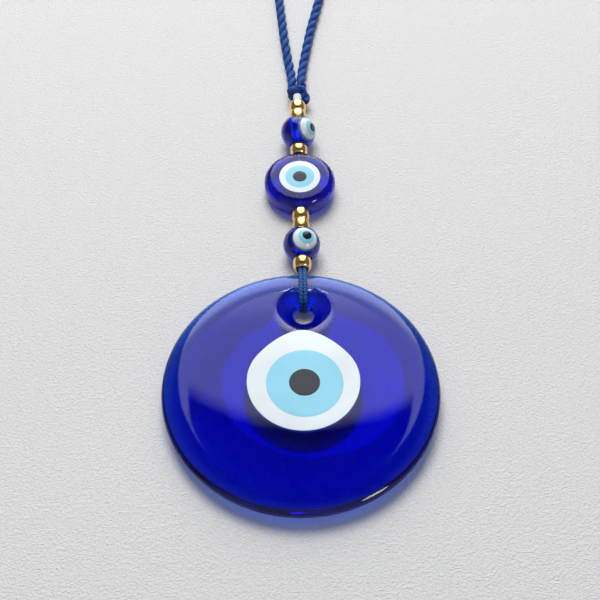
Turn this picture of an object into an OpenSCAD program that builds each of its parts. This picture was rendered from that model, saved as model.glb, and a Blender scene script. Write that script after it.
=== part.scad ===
// Evil eye ornament: a pierced glass disc hung on a string of glass and gilt
// beads, with a twisted hanging loop. Millimetres. The disc lies on its back:
// +Z points out of its eye, +Y runs along the string to the hanging loop, and
// the origin is the centre of the disc's flat back.

/* [Disc] */
// Diameter of the disc
disc_d = 70; // [66:0.5:84]
// Thickness at the middle
disc_t = 8; // [7:0.1:10]
// Height of the shoulder where the dome meets the rim
shoulder_z = 6.4; // [5.5:0.1:6.8]
// Width of the rounded rim, from the shoulder to the edge
rim_w = 5.5; // [3:0.1:7]
// Height at which the rim is widest
rim_z = 4.1; // [3.5:0.1:4.5]
// Diameter of the flat that the disc rests on
flat_d = 38; // [20:1:40]
// Height of the back, one rim width and a half in from the edge
back_rise = 1.45; // [1.3:0.05:2]

/* [Hanging hole] */
// Distance from the disc's edge to the middle of the hole
hole_edge = 12.1; // [11:0.1:14]
// Sideways offset of the hole and the string from the disc's middle
string_x = 1.25; // [0:0.05:3]
// Diameter of the hole at the back
hole_d = 5.8; // [5:0.1:7]
// Diameter of the funnel's mouth at the front
mouth_d = 12.8; // [10:0.1:14]
// How far the mouth's middle lies nearer to the eye than the hole's
mouth_shift = 0.35; // [0:0.05:1]
// Depth of the funnel below the disc's face
funnel_depth = 4.9; // [3.5:0.1:5]
// Radius of the rounded lip where the hole opens at the back
hole_lip = 0.9; // [0.5:0.1:1]

/* [Eye of the disc] */
// Diameter of the white drop
white_d = 28.3; // [20:0.1:30]
// Middle of the white drop
white_at = [0.65, 0.4]; // [-3:0.05:3]
// How far the white drop is drawn out towards the hole
white_peak = 0.9; // [0:0.1:2]
// Diameter of the pale blue iris
iris_d = 19.4; // [12:0.1:20]
// Middle of the iris
iris_at = [0.95, -0.45]; // [-3:0.05:3]
// Diameter of the dark pupil
pupil_d = 7.9; // [4:0.1:10]
// Middle of the pupil
pupil_at = [0.9, -0.35]; // [-3:0.05:3]
// Depth of one colour layer below the next
layer_t = 0.8; // [0.5:0.1:1]

/* [Gilt beads] */
// Diameter of a gilt bead
gilt_d = 5; // [4.6:0.1:6]
// Length of a gilt bead along the string
gilt_len = 4.1; // [3:0.1:5]
// Diameter of a gilt bead's hole
gilt_hole_d = 3; // [2.8:0.1:3.6]

/* [Glass beads] */
// Diameter of the two round eye beads
round_d = 10.2; // [9:0.1:12]
// Depth ground off a round eye bead at each end of its hole
round_grind = 0.85; // [0.6:0.05:1.2]
// Diameter of the flat eye bead
coin_d = 20; // [16:0.1:24]
// Depth ground off the flat eye bead at each end of its hole
coin_grind = 0.2; // [0.2:0.05:0.6]
// Thickness of the flat eye bead
coin_t = 7; // [6:0.1:8]
// Radius of the flat eye bead's edge
coin_edge = 2.6; // [1:0.1:2.9]
// Diameter of the hole through each glass bead
bead_hole_d = 3.2; // [3:0.1:4]
// Diameters of the flat bead's white, iris and pupil
coin_eye_d = [11.5, 8.2, 3.9]; // [2:0.1:14]
// Diameters of a round bead's white, iris and pupil
round_eye_d = [6.5, 4.4, 2.6]; // [2:0.1:7]
// Gap between neighbouring beads
bead_gap = 0.12; // [0.1:0.01:0.3]

/* [Cords] */
// Width of the flat braided tie
tie_w = 2.3; // [1.8:0.1:2.4]
// Thickness of the flat braided tie
tie_t = 0.9; // [0.6:0.05:1]
// Diameter of the doubled braid inside the beads
string_d = 2.1; // [1.6:0.1:2.2]
// Diameter of the twisted cord of the hanging loop
rope_d = 2.6; // [2:0.1:2.7]
// Diameter of the white core above the last bead
core_d = 2.5; // [2:0.1:2.8]
// Length of the white core
core_len = 3.2; // [2.5:0.1:5]
// Length of the knot, from the core to where the two strands leave it
knot_len = 4.2; // [3.5:0.1:6]
// Outer diameter of the knot's collar
knot_d = 6.2; // [5.6:0.1:7]

/* [Hidden] */

$fn = 72;
fine = 160;               // facets of the small round beads and their eyes
over = 20;                // reach of a cutting tool past the surface it cuts
disc_r = disc_d / 2;
shoulder_r = disc_r - rim_w;
hole_y = disc_r - hole_edge;
mouth_y = hole_y - mouth_shift;
dome_fall = disc_t - shoulder_z;
arc_steps = 12;

cobalt = "#0a1f9c";
white = "#f2f5fa";
sky = "#9bd9f0";
ink = "#15181c";
gilt = "#e2b04a";
braid = "#1e46a0";

// ---- where each bead sits along the string, and how high its hole is ----

tie_room = 0.4;                            // room for the tie between rim and first bead
first_y = disc_r + tie_t + tie_room;       // mouth of the first gilt bead
gilt_step = gilt_len + bead_gap;
round_len = round_d - 2 * round_grind;
coin_len = coin_d - 2 * coin_grind;
gilt_1_y = first_y + gilt_len / 2;
lower_y = gilt_1_y + gilt_len / 2 + bead_gap + round_len / 2;
gilt_2_y = lower_y + round_len / 2 + bead_gap + gilt_len / 2;
gilt_3_y = gilt_2_y + gilt_step;
coin_y = gilt_3_y + gilt_len / 2 + bead_gap + coin_len / 2;
gilt_4_y = coin_y + coin_len / 2 + bead_gap + gilt_len / 2;
upper_y = gilt_4_y + gilt_len / 2 + bead_gap + round_len / 2;
gilt_5_y = upper_y + round_len / 2 + bead_gap + gilt_len / 2;
gilt_6_y = gilt_5_y + gilt_step;
core_y = gilt_6_y + gilt_len / 2 + bead_gap;
knot_y = core_y + core_len;
knot_end_y = knot_y + knot_len;
strand_gap = rope_d + 0.2;                 // between the middles of the two strands there
strand_z = rope_d / 2 + 1.6;

round_z = round_d / 2;
coin_z = coin_t / 2;
coin_fall = round_z - coin_z;              // fall of the string to the flat bead
knot_fall = 1.1;                           // and to the knot
gilt_y = [gilt_1_y, gilt_2_y, gilt_3_y, gilt_4_y, gilt_5_y, gilt_6_y];
gilt_z = [
    round_z - coin_fall * 0.06, round_z - coin_fall * 0.27, round_z - coin_fall * 0.65,
    round_z - coin_fall * 0.5, round_z - knot_fall / 2, round_z - knot_fall
];
core_z = round_z - knot_fall;

// The eyes of the round beads: turn about the string, then lean towards the disc,
// for the white, the iris and the pupil. Worked by hand, they are not concentric.
lower_eye = [[13, 12], [15, 8], [17, 5]];
upper_eye = [[42, 14], [48, 10], [52, 7]];
// Depth of each layer below its own edge
eye_depth = [0.5, 0.42, 0.34];

// ---- helpers ----

// Points of an ellipse's arc about a centre, from one angle to another
function arc(centre, rx, ry, from, to, steps = arc_steps) =
    [for (i = [0 : steps]) let (a = from + (to - from) * i / steps)
        centre + [rx * cos(a), ry * sin(a)]];

function unit(v) = v / norm(v);

// Direction of a route at one of its points
function heading(route, i) =
    unit(route[min(i + 1, len(route) - 1)] - route[max(i - 1, 0)]);

// One ring of an oval section, as wide as w across `side` and t across the other way
function ring(centre, along, side, w, t, sides) =
    let (across = unit(side - along * (side * along)), up = cross(across, along))
    [for (k = [0 : sides - 1]) let (a = 360 * (k + 0.5) / sides)
        centre + across * (w / 2 * cos(a)) + up * (t / 2 * sin(a))];

// A tube along a route; `side` is a direction that the section's width keeps to
module tube(route, side, w, t, sides = 8) {
    rings = [for (i = [0 : len(route) - 1])
        ring(route[i], heading(route, i), side, w, t, sides)];
    last = (len(route) - 1) * sides;
    polyhedron(
        points = [for (r = rings) for (p = r) p],
        faces = concat(
            [[for (k = [0 : sides - 1]) k]],
            [[for (k = [sides - 1 : -1 : 0]) last + k]],
            [for (i = [0 : len(route) - 2]) for (k = [0 : sides - 1])
                let (a = i * sides + k, b = i * sides + (k + 1) % sides)
                [a, a + sides, b + sides]],
            [for (i = [0 : len(route) - 2]) for (k = [0 : sides - 1])
                let (a = i * sides + k, b = i * sides + (k + 1) % sides)
                [a, b + sides, b]]
        )
    );
}

// Puts a shape that is modelled about the string's axis at its place on the string
module on_string(y, z) {
    translate([string_x, y, z]) children();
}

// A cylinder along the string, centred
module along_string(d, length) {
    rotate([90, 0, 0]) cylinder(d = d, h = length, center = true);
}

// ---- the disc ----

function dome_z(r) = disc_t - dome_fall * pow(r / shoulder_r, 2);

module disc_body() {
    dome = [for (i = [0 : arc_steps]) let (r = shoulder_r * i / arc_steps) [r, dome_z(r)]];
    rim_top = arc([shoulder_r, rim_z], rim_w, shoulder_z - rim_z, 80, 0);
    back_w = 1.5 * rim_w;
    rim_back = arc([disc_r - back_w, rim_z], back_w, rim_z - back_rise, -8, -90);
    rotate_extrude() polygon(concat(dome, rim_top, rim_back, [[flat_d / 2, 0], [0, 0]]));
}

// The hole: a waist with a rounded lip at the back, and at the front a funnel that
// stands square to the dome and flares until it nearly meets it
module hanging_hole() {
    waist = hole_d / 2;
    throat = waist - 0.5;
    flare = 80;                                    // end of the flare's arc, degrees
    spread = (mouth_d / 2 - throat) / (1 - cos(flare));
    funnel = [for (i = [0 : arc_steps]) let (a = flare * i / arc_steps)
        [throat + spread * (1 - cos(a)), funnel_depth * (sin(a) / sin(flare) - 1)]];
    runout = 3;                                    // the flare goes on past the dome
    slope = funnel_depth * cos(flare) / (spread * pow(sin(flare), 2));
    end_r = mouth_d / 2 + runout;
    lean = atan(2 * dome_fall * mouth_y / pow(shoulder_r, 2));
    lip_r = waist + hole_lip;
    lip_z = back_rise + hole_lip - 0.1;
    translate([string_x, hole_y, -1]) cylinder(r = waist, h = over);
    translate([string_x, mouth_y, dome_z(mouth_y)]) rotate([-lean, 0, 0]) rotate_extrude()
        polygon(concat([[0, -funnel_depth]], funnel, [[end_r, runout * slope], [end_r, over], [0, over]]));
    translate([string_x, hole_y, 0]) rotate_extrude() difference() {
        translate([0, -1]) square([lip_r, lip_z + 1]);
        translate([lip_r, lip_z]) circle(r = hole_lip);
    }
}

// How far the drop stands out of its circle at an angle away from its point: drawn
// out at the point itself, and a little hollow beside it
function drop_bulge(off) =
    let (point_width = 18, hollow_at = 45, hollow_width = 20, hollow_share = 0.5)
    white_peak * (exp(-pow(off / point_width, 2))
        - hollow_share * exp(-pow((off - hollow_at) / hollow_width, 2)));

// Outline of the white drop: a circle drawn out to a soft point towards the hole
module white_outline() {
    steps = 60;
    point_a = 90;
    translate(white_at) polygon([for (i = [0 : steps - 1])
        let (a = 360 * i / steps, off = min(abs(a - point_a), 360 - abs(a - point_a)),
             r = white_d / 2 + drop_bulge(off))
        [r * cos(a), r * sin(a)]]);
}

module white_tool() {
    translate([0, 0, disc_t - 3 * layer_t]) linear_extrude(over) white_outline();
}

module iris_tool() {
    translate([iris_at[0], iris_at[1], disc_t - 2 * layer_t]) cylinder(d = iris_d, h = over);
}

module pupil_tool() {
    translate([pupil_at[0], pupil_at[1], disc_t - layer_t]) cylinder(d = pupil_d, h = over);
}

module disc_glass() {
    color(cobalt) difference() {
        disc_body();
        white_tool();
        hanging_hole();
    }
}

module disc_white() {
    color(white) difference() {
        intersection() {
            disc_body();
            white_tool();
        }
        iris_tool();
    }
}

module disc_iris() {
    color(sky) difference() {
        intersection() {
            disc_body();
            iris_tool();
        }
        pupil_tool();
    }
}

module disc_pupil() {
    color(ink) intersection() {
        disc_body();
        pupil_tool();
    }
}

// ---- the braided tie, round the glass bar between the hole and the rim ----

// Distance past the disc's edge, and height: over the rim, down the hole and back
tie_path = [
    [1.1, 5.6], [0.2, 5.95], [-1, 6.3], [-2.4, 6.7], [-4, 6.95], [-5.7, 7.05], [-7, 6.95],
    [-8, 6.6], [-9, 6], [-9.7, 5.1], [-9.8, 4.2], [-9.8, 3.2], [-9.75, 2.3], [-9.4, 1.2],
    [-8.4, 0.75], [-6.8, 0.7], [-5, 0.9], [-3.2, 1.25], [-1.8, 1.75], [-0.6, 2.4],
    [0.3, 3.15], [0.8, 3.9], [1.05, 4.55]
];
tie_route = [for (p = tie_path) [string_x, disc_r + p[0], p[1]]];

module tie_loop() {
    color(braid) tube(tie_route, [1, 0, 0], tie_w, tie_t);
}

// ---- the beads ----

// A gilt bead: a barrel with rounded ends, drilled along the string
module gilt_bead(i) {
    rim = 0.15;                                    // flat ring round the hole
    fullness = 2.4;                                // 2 is an ellipse, more is fuller
    end_r = gilt_hole_d / 2 + rim;
    profile = [for (k = [-arc_steps : arc_steps]) let (s = k / arc_steps)
        [end_r + (gilt_d / 2 - end_r) * sqrt(1 - pow(abs(s), fullness)), s * gilt_len / 2]];
    color(gilt) on_string(gilt_y[i], gilt_z[i]) rotate([-90, 0, 0]) rotate_extrude()
        polygon(concat([[gilt_hole_d / 2, -gilt_len / 2]], profile, [[gilt_hole_d / 2, gilt_len / 2]]));
}

// A ball with its poles on the string's axis, ground flat at both ends
module round_body() {
    intersection() {
        rotate([90, 180, 0]) sphere(d = round_d, $fn = fine);
        cube([round_d + 1, round_len, round_d + 1], center = true);
    }
}

// A cutter along a round bead's eye, from a depth that leaves the layers stacked
module round_eye_tool(eye, layer) {
    r = round_eye_d[layer] / 2;
    seat = sqrt(pow(round_d / 2, 2) - r * r);
    rotate([eye[layer][1], eye[layer][0], 0])
        translate([0, 0, seat - eye_depth[layer]]) cylinder(r = r, h = over, $fn = fine);
}

module round_glass(eye) {
    difference() {
        round_body();
        round_eye_tool(eye, 0);
        along_string(bead_hole_d, over);
    }
}

module round_white(eye) {
    difference() {
        intersection() {
            round_body();
            round_eye_tool(eye, 0);
        }
        round_eye_tool(eye, 1);
        along_string(bead_hole_d, over);
    }
}

module round_iris(eye) {
    difference() {
        intersection() {
            round_body();
            round_eye_tool(eye, 1);
        }
        round_eye_tool(eye, 2);
    }
}

module round_pupil(eye) {
    intersection() {
        round_body();
        round_eye_tool(eye, 2);
    }
}

module lower_bead_glass() { color(cobalt) on_string(lower_y, round_z) round_glass(lower_eye); }
module lower_bead_white() { color(white) on_string(lower_y, round_z) round_white(lower_eye); }
module lower_bead_iris() { color(sky) on_string(lower_y, round_z) round_iris(lower_eye); }
module lower_bead_pupil() { color(ink) on_string(lower_y, round_z) round_pupil(lower_eye); }
module upper_bead_glass() { color(cobalt) on_string(upper_y, round_z) round_glass(upper_eye); }
module upper_bead_white() { color(white) on_string(upper_y, round_z) round_white(upper_eye); }
module upper_bead_iris() { color(sky) on_string(upper_y, round_z) round_iris(upper_eye); }
module upper_bead_pupil() { color(ink) on_string(upper_y, round_z) round_pupil(upper_eye); }

// The flat bead about its own middle: a coin with a rounded edge, ground flat
// where the hole comes out
module coin_body() {
    top = arc([coin_d / 2 - coin_edge, coin_t / 2 - coin_edge], coin_edge, coin_edge, 90, 0);
    bottom = arc([coin_d / 2 - coin_edge, coin_edge - coin_t / 2], coin_edge, coin_edge, 0, -90);
    intersection() {
        rotate_extrude() polygon(concat([[0, coin_t / 2]], top, bottom, [[0, -coin_t / 2]]));
        cube([coin_d + 1, coin_len, coin_t + 1], center = true);
    }
}

coin_layer_t = 0.4;                        // depth of one colour layer below the next

module coin_eye_tool(layer, face) {
    depth = coin_t / 2 - (3 - layer) * coin_layer_t;
    rotate([face > 0 ? 0 : 180, 0, 0]) translate([0, 0, depth])
        cylinder(d = coin_eye_d[layer], h = over);
}

module coin_bead_glass() {
    color(cobalt) on_string(coin_y, coin_z) difference() {
        coin_body();
        coin_eye_tool(0, 1);
        coin_eye_tool(0, -1);
        along_string(bead_hole_d, coin_d + 1);
    }
}

module coin_layer(layer, face) {
    on_string(coin_y, coin_z) difference() {
        intersection() {
            coin_body();
            coin_eye_tool(layer, face);
        }
        if (layer < 2) coin_eye_tool(layer + 1, face);
    }
}

module coin_bead_white() { color(white) coin_layer(0, 1); }
module coin_bead_iris() { color(sky) coin_layer(1, 1); }
module coin_bead_pupil() { color(ink) coin_layer(2, 1); }
module coin_back_white() { color(white) coin_layer(0, -1); }
module coin_back_iris() { color(sky) coin_layer(1, -1); }
module coin_back_pupil() { color(ink) coin_layer(2, -1); }

// ---- the doubled braid through the beads, the core and the knot ----

// Distance along and height: level through each glass bead, sloping between them
braid_level = 2;                           // half of the level stretch in a round bead
string_path = [
    [first_y + 0.3, gilt_z[0]], [gilt_1_y, gilt_z[0]],
    [lower_y - braid_level, round_z], [lower_y + braid_level, round_z],
    [gilt_2_y, gilt_z[1]], [gilt_3_y, gilt_z[2]],
    [coin_y - coin_len / 2 + braid_level, coin_z], [coin_y, coin_z],
    [coin_y + coin_len / 2 - braid_level, coin_z], [gilt_4_y, gilt_z[3]],
    [upper_y - braid_level, round_z], [upper_y + braid_level, round_z],
    [gilt_5_y, gilt_z[4]], [gilt_6_y, gilt_z[5]], [core_y, core_z]
];
string_route = [for (p = string_path) [string_x, p[0], p[1]]];

module bead_string() {
    color(braid) tube(string_route, [1, 0, 0], string_d, string_d);
}

module knot_core() {
    color(white) on_string(core_y + core_len / 2, core_z) along_string(core_d, core_len);
}

// Two turns of the twisted cord round the core, the strands that leave for the
// loop, and the end that curls down beside the last bead
module knot() {
    minor = rope_d / 2 - 0.1;                      // the cord, pulled tight
    collar_r = knot_d / 2 - minor;
    collar_y = knot_y + minor;
    collar_z = knot_d / 2 + 0.3;
    tail_x = string_x + core_d / 2 + minor;
    tail_len = core_len;                           // it curls down as far as the core goes
    color(braid) union() {
        translate([string_x, collar_y, collar_z]) rotate([90, 0, 0])
            rotate_extrude() translate([collar_r, 0]) circle(r = minor);
        translate([string_x, collar_y, collar_z]) along_string(collar_r * 2, minor * 2);
        for (side = [-1, 1]) translate([string_x + side * strand_gap / 2, collar_y, strand_z])
            rotate([-90, 0, 0]) cylinder(d = rope_d, h = knot_end_y - collar_y);
        translate([tail_x, collar_y, collar_z]) rotate([90, 0, 0]) cylinder(r = minor, h = tail_len);
        translate([tail_x, collar_y - tail_len, collar_z]) sphere(r = minor);
    }
}

// ---- the hanging loop, lying on the surface ----

// Across from the string, along from the knot's end, and height, out and back
loop_path = [
    [-1.4, 0.3, 2.9], [-1.4, 2.4, 2.6], [-1.5, 4.8, 2.1], [-1.7, 7, 1.7], [-2, 9.5, 1.45],
    [-2.5, 13.5, 1.35], [-3.3, 21, 1.35], [-3.8, 27, 1.35], [-4.4, 35, 1.35], [-5, 43, 1.35],
    [-6, 52, 1.35], [-7.4, 62, 1.35], [-9.1, 72, 1.35], [-10.6, 82, 1.35], [-11.4, 91, 1.35],
    [-10.6, 99, 1.35], [-7.8, 105.6, 1.35], [-3.2, 109.8, 1.35], [2, 111, 1.35],
    [7.2, 109.8, 1.35], [11.8, 105.6, 1.35], [14.6, 99, 1.35], [15.4, 91, 1.35],
    [15, 82, 1.35], [13.9, 72, 1.35], [12.2, 62, 1.35], [10.2, 52, 1.35], [8.5, 43, 1.35],
    [6.8, 35, 1.35], [5, 27, 1.35], [3.9, 21, 1.35], [2.6, 13.5, 1.35],
    [2, 9.5, 1.45], [1.7, 7, 1.7], [1.5, 4.8, 2.1], [1.4, 2.4, 2.6], [1.4, 0.3, 2.9]
];
loop_route = [for (p = loop_path) p + [string_x, knot_end_y, 0]];

module hanging_loop() {
    color(braid) tube(loop_route, [0, 0, 1], rope_d, rope_d);
}

// ---- output ----

disc_glass();
disc_white();
disc_iris();
disc_pupil();
tie_loop();
bead_string();
gilt_bead(0);  // gilt_bead_1
gilt_bead(1);  // gilt_bead_2
gilt_bead(2);  // gilt_bead_3
gilt_bead(3);  // gilt_bead_4
gilt_bead(4);  // gilt_bead_5
gilt_bead(5);  // gilt_bead_6
lower_bead_glass();
lower_bead_white();
lower_bead_iris();
lower_bead_pupil();
coin_bead_glass();
coin_bead_white();
coin_bead_iris();
coin_bead_pupil();
coin_back_white();
coin_back_iris();
coin_back_pupil();
upper_bead_glass();
upper_bead_white();
upper_bead_iris();
upper_bead_pupil();
knot_core();
knot();
hanging_loop();
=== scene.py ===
"""Evil eye ornament: the glass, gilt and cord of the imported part, dressed and lit.

Pieces are modelled in millimetres and laid in the part's own frame, in metres.
"""

import logging
import math
from dataclasses import dataclass, field
from enum import Enum
from typing import Callable

import bmesh
import bpy
import numpy as np
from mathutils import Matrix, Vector


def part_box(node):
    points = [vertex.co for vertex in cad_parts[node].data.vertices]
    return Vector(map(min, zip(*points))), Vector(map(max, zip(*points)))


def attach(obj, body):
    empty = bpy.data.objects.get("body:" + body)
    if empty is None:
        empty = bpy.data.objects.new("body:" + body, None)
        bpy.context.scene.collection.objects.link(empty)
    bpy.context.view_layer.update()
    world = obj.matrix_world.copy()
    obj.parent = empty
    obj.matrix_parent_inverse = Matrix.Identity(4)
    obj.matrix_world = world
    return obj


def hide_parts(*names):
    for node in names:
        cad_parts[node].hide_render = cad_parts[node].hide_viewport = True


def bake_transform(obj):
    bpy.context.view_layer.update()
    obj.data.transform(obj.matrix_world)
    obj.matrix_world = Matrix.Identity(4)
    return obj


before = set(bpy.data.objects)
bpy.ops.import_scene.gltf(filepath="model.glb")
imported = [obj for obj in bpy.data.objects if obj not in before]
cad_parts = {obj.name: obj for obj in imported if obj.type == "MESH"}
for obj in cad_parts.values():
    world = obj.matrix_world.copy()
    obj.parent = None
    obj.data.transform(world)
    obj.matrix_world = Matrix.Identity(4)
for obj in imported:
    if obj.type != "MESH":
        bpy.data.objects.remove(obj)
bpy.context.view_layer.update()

MM = 0.001
MERGE = 0.0005  # points of one piece nearer than this are one point, in millimetres
DRILL_SIDES = 64
CREASE = 35.0  # faces that meet at more degrees than this keep an edge
CORD_CREASE = 60.0  # the same for the faces of a cord
FINE = 24  # places drawn between two chosen points of a cord's line
ASLANT = (0.31, 0.17, 0.93)  # a direction that no cord starts along
CREST_POWER = 1.7  # how soon a rope's painted shade deepens away from its crests

log = logging.getLogger("ornament")

Point = tuple[float, float, float]
Height = Callable[[float, float], float]
Shape = tuple[np.ndarray, np.ndarray, np.ndarray]
Section = Callable[[np.ndarray, np.ndarray], Shape]
Object = bpy.types.Object
Socket = bpy.types.NodeSocket
Sockets = bpy.types.bpy_prop_collection
Feed = Socket | float | Point


# ---- places taken from the part ----


@dataclass(frozen=True)
class Span:
    """The box of one CAD node, in millimetres."""

    low: Vector
    high: Vector

    @classmethod
    def of(cls, node: str) -> "Span":
        """The span of a CAD node at rest.

        Args:
            node: the node's name.

        Returns:
            Its span.
        """
        low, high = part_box(node)
        return cls(low / MM, high / MM)

    @property
    def middle(self) -> Vector:
        """The middle of the box."""
        return (self.low + self.high) / 2

    @property
    def size(self) -> Vector:
        """The box's sizes along X, Y and Z."""
        return self.high - self.low


STRING_X = Span.of("bead_string").middle.x


# ---- modelling ----


@dataclass(frozen=True)
class Ring:
    """One round of a lofted piece, in millimetres.

    Attributes:
        radius: the ring's radius, 0 where it closes to a point.
        z: its height, if it isn't laid on a surface.
        x: its middle across.
        y: its middle along.
        lay: the height of the surface that it is laid on.
    """

    radius: float
    z: float = 0.0
    x: float = 0.0
    y: float = 0.0
    lay: Height | None = None


def lay_selected(height: Height) -> None:
    """Lays the selected points of the mesh in edit mode on a surface.

    Args:
        height: the surface's height at a place.
    """
    mesh = bpy.context.edit_object.data
    shape = bmesh.from_edit_mesh(mesh)
    for point in shape.verts:
        if point.select:
            point.co.z = height(point.co.x, point.co.y)
    bmesh.update_edit_mesh(mesh)


def loft(
    name: str,
    rings: list[Ring],
    sides: int,
    filled: bool,
    outline: Callable[[float], float] | None = None,
) -> Object:
    """Models a piece by pulling one ring out of the last.

    Args:
        name: the piece's name.
        rings: the rings in order. The last meets the first, or closes to a point.
        sides: the points of each ring.
        filled: whether the first ring is closed by a face.
        outline: how far the outline stands out of its circle at an angle, as a factor.

    Returns:
        The piece, in millimetres about the origin.
    """
    first = rings[0]
    bpy.ops.object.select_all(action="DESELECT")
    bpy.ops.mesh.primitive_circle_add(
        vertices=sides, radius=first.radius, fill_type="NGON" if filled else "NOTHING"
    )
    obj = bpy.context.object
    obj.name = obj.data.name = name
    if outline:
        for point in obj.data.vertices:
            point.co *= outline(math.atan2(point.co.y, point.co.x))
    bpy.ops.object.mode_set(mode="EDIT")
    bpy.ops.mesh.select_all(action="SELECT")
    bpy.ops.transform.translate(value=(first.x, first.y, first.z))
    if first.lay:
        lay_selected(first.lay)
    for last, ring in zip(rings, rings[1:]):
        step = (ring.x - last.x, ring.y - last.y, 0)
        bpy.ops.mesh.extrude_region_move(TRANSFORM_OT_translate={"value": step})
        grow = ring.radius / last.radius
        bpy.ops.transform.resize(
            value=(grow, grow, 0), center_override=(ring.x, ring.y, ring.z)
        )
        if ring.lay:
            lay_selected(ring.lay)
    if rings[-1].radius == 0:
        bpy.ops.mesh.merge(type="CENTER")
    close_up()
    bpy.ops.object.mode_set(mode="OBJECT")
    return obj


def close_up() -> None:
    """Merges doubled points of the mesh in edit mode and turns its faces outwards."""
    bpy.ops.mesh.select_all(action="SELECT")
    bpy.ops.mesh.remove_doubles(threshold=MERGE)
    bpy.ops.mesh.normals_make_consistent(inside=False)


def only(obj: Object) -> None:
    """Selects one object alone and makes it active.

    Args:
        obj: the object.
    """
    bpy.ops.object.select_all(action="DESELECT")
    obj.select_set(True)
    bpy.context.view_layer.objects.active = obj


def bored_along_y(obj: Object, radius: float, reach: float) -> None:
    """Drills a piece along Y through its middle.

    Args:
        obj: the piece, about the origin.
        radius: the hole's radius.
        reach: the drill's length.
    """
    bpy.ops.object.select_all(action="DESELECT")
    bpy.ops.mesh.primitive_cylinder_add(
        vertices=DRILL_SIDES,
        radius=radius,
        depth=reach,
        rotation=(math.pi / 2, 0, 0),
    )
    drill = bpy.context.object
    only(obj)
    cut = obj.modifiers.new("bore", "BOOLEAN")
    cut.object, cut.operation, cut.solver = drill, "DIFFERENCE", "EXACT"
    bpy.ops.object.modifier_apply(modifier=cut.name)
    bpy.data.objects.remove(drill)


def ground_ends(obj: Object, half: float) -> None:
    """Grinds a piece flat at both ends along Y.

    Args:
        obj: the piece, about the origin.
        half: how far from the middle each flat lies.
    """
    only(obj)
    bpy.ops.object.mode_set(mode="EDIT")
    for side in (-1, 1):
        bpy.ops.mesh.select_all(action="SELECT")
        bpy.ops.mesh.bisect(
            plane_co=(0, side * half, 0),
            plane_no=(0, side, 0),
            use_fill=True,
            clear_outer=True,
        )
    close_up()
    bpy.ops.object.mode_set(mode="OBJECT")


def put(obj: Object, at: Point | Vector, turn: Point = (0, 0, 0)) -> Object:
    """Puts a piece at its place in the part's frame, and shades it.

    Args:
        obj: the piece, in millimetres about the origin.
        at: where its origin goes, in millimetres.
        turn: its turn about X, Y and Z, in degrees.

    Returns:
        The piece, in metres, with its place in its mesh.
    """
    obj.location = Vector(at) * MM
    obj.rotation_euler = [math.radians(a) for a in turn]
    obj.scale = (MM, MM, MM)
    only(obj)
    bpy.ops.object.transform_apply(location=True, rotation=True, scale=True)
    bpy.ops.object.shade_smooth_by_angle(angle=math.radians(CREASE))
    return obj


def arc(
    middle: tuple[float, float],
    radii: tuple[float, float],
    first: float,
    last: float,
    steps: int,
) -> list[Ring]:
    """Rings along an ellipse's arc, about the Z axis.

    Args:
        middle: the ellipse's middle, as distance from the axis and height.
        radii: its half width and half height.
        first: the first angle, in degrees from outwards.
        last: the last angle.
        steps: the number of steps between them.

    Returns:
        The rings, the first and last among them.
    """
    angles = np.radians(np.linspace(first, last, steps + 1))
    return [
        Ring(middle[0] + radii[0] * math.cos(a), middle[1] + radii[1] * math.sin(a))
        for a in angles
    ]


# ---- cords ----


class Route:
    """A smooth line through chosen points, with a frame at each step.

    Attributes:
        points: places along the line, evenly spaced, in millimetres.
        along: the line's direction at each.
        side: a direction across the line at each.
        up: the other direction across it.
        run: the length up to each.
    """

    def __init__(
        self, chosen: list[list[float]], step: float, side: Point | None = None
    ) -> None:
        """Draws the line and its frames.

        Args:
            chosen: the points that it passes through.
            step: the distance between two places along it.
            side: a direction that the side keeps to, or None for no twist.
        """
        knots = np.array(chosen, float)
        ends = np.vstack([2 * knots[0] - knots[1], knots, 2 * knots[-1] - knots[-2]])
        share = np.linspace(0, 1, FINE, endpoint=False)[:, None]
        pieces = []
        for a, b, c, d in zip(ends, ends[1:], ends[2:], ends[3:]):
            bend, slope = 2 * a - 5 * b + 4 * c - d, c - a
            swing = 3 * b - a - 3 * c + d
            curve = slope * share + bend * share**2 + swing * share**3
            pieces.append(b + curve / 2)
        dense = np.vstack([*pieces, knots[-1:]])
        run = self._lengths(dense)
        count = max(2, round(run[-1] / step))
        self.run = np.linspace(0, run[-1], count + 1)
        self.points = np.stack([np.interp(self.run, run, part) for part in dense.T], 1)
        self._frame(side)

    @classmethod
    def through(cls, points: np.ndarray) -> "Route":
        """Makes a route through points that are already close together.

        Args:
            points: the points.

        Returns:
            The route.
        """
        made = cls.__new__(cls)
        made.points, made.run = points, cls._lengths(points)
        made._frame(None)
        return made

    @staticmethod
    def _lengths(points: np.ndarray) -> np.ndarray:
        """The length of a line up to each of its points."""
        steps = np.linalg.norm(np.diff(points, axis=0), axis=1)
        return np.concatenate([[0], np.cumsum(steps)])

    def _frame(self, side: Point | None) -> None:
        """Works out the directions along and across the line.

        Args:
            side: a direction that the side keeps to, or None for no twist.
        """
        along = np.gradient(self.points, axis=0)
        self.along = along / np.linalg.norm(along, axis=1)[:, None]
        if side is not None:
            sides = np.tile(np.array(side, float), (len(self.points), 1))
        else:
            sides = [np.cross(self.along[0], ASLANT)]
            for a in self.along[1:]:
                sides.append(sides[-1] - a * (sides[-1] @ a))
                sides[-1] /= np.linalg.norm(sides[-1])
            sides = np.array(sides)
        sides = sides - self.along * np.sum(sides * self.along, axis=1)[:, None]
        self.side = sides / np.linalg.norm(sides, axis=1)[:, None]
        self.up = np.cross(self.along, self.side)

    def beside(self, across: np.ndarray, above: np.ndarray) -> np.ndarray:
        """Places at a distance to the side of and above each step of the line."""
        return self.points + self.side * across[:, None] + self.up * above[:, None]


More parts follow.
